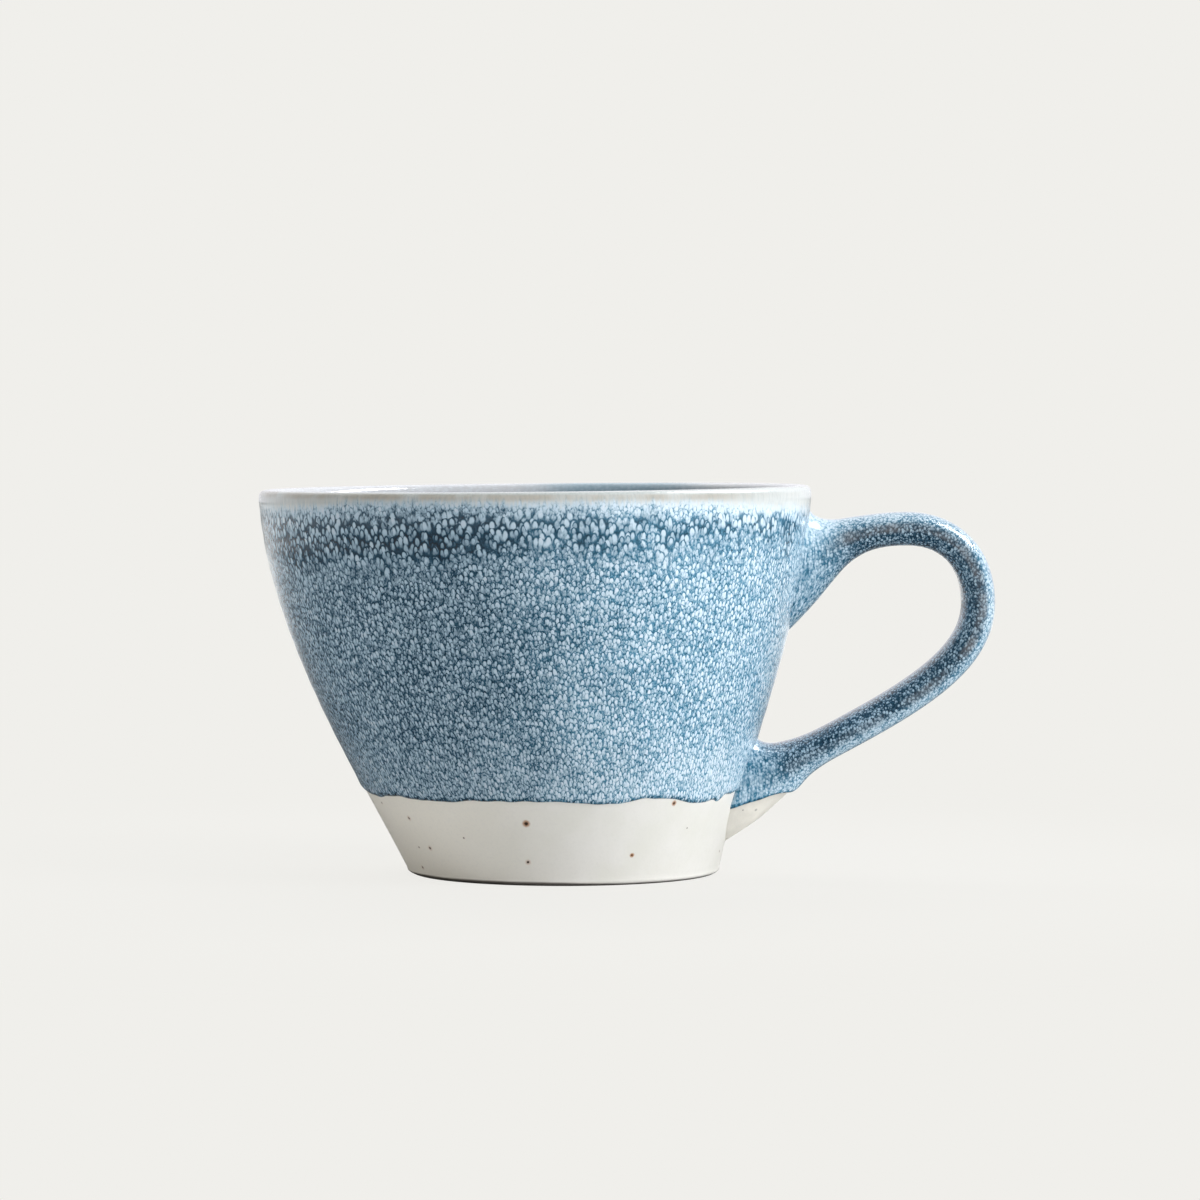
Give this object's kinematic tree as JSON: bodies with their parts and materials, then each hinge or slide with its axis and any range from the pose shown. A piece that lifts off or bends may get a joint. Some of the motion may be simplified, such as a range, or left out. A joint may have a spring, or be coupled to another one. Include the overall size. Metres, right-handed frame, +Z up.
{
  "type": "stoneware mug",
  "caption": "Wide stoneware mug with a bowed, flaring wall, a turned foot ring and a pulled loop handle, under a blue reactive glaze that stops above a pale base.",
  "frame": {"origin": "centre of the foot ring, in the plane that the mug stands on", "axes": "+Z up through the mouth, +X from the middle of the foot towards the handle"},
  "size_m": [0.1515, 0.1136, 0.0797],
  "materials": {
    "stoneware": "matt, unglazed",
    "luting_slip": "matt, wiped smooth",
    "reactive_glaze": "glossy, speckled",
    "liner_glaze": "glossy, speckled",
    "pale_glaze": "satin, with iron specks",
    "handle_glaze": "glossy, speckled"
  },
  "bodies": {
    "root": {"cup_body": "stoneware", "handle": "stoneware", "upper_luting": "luting_slip", "lower_luting": "luting_slip", "wall_glaze": "reactive_glaze", "liner_glaze": "liner_glaze", "base_glaze": "pale_glaze", "handle_glaze": "handle_glaze"}
  },
  "joints": []
}
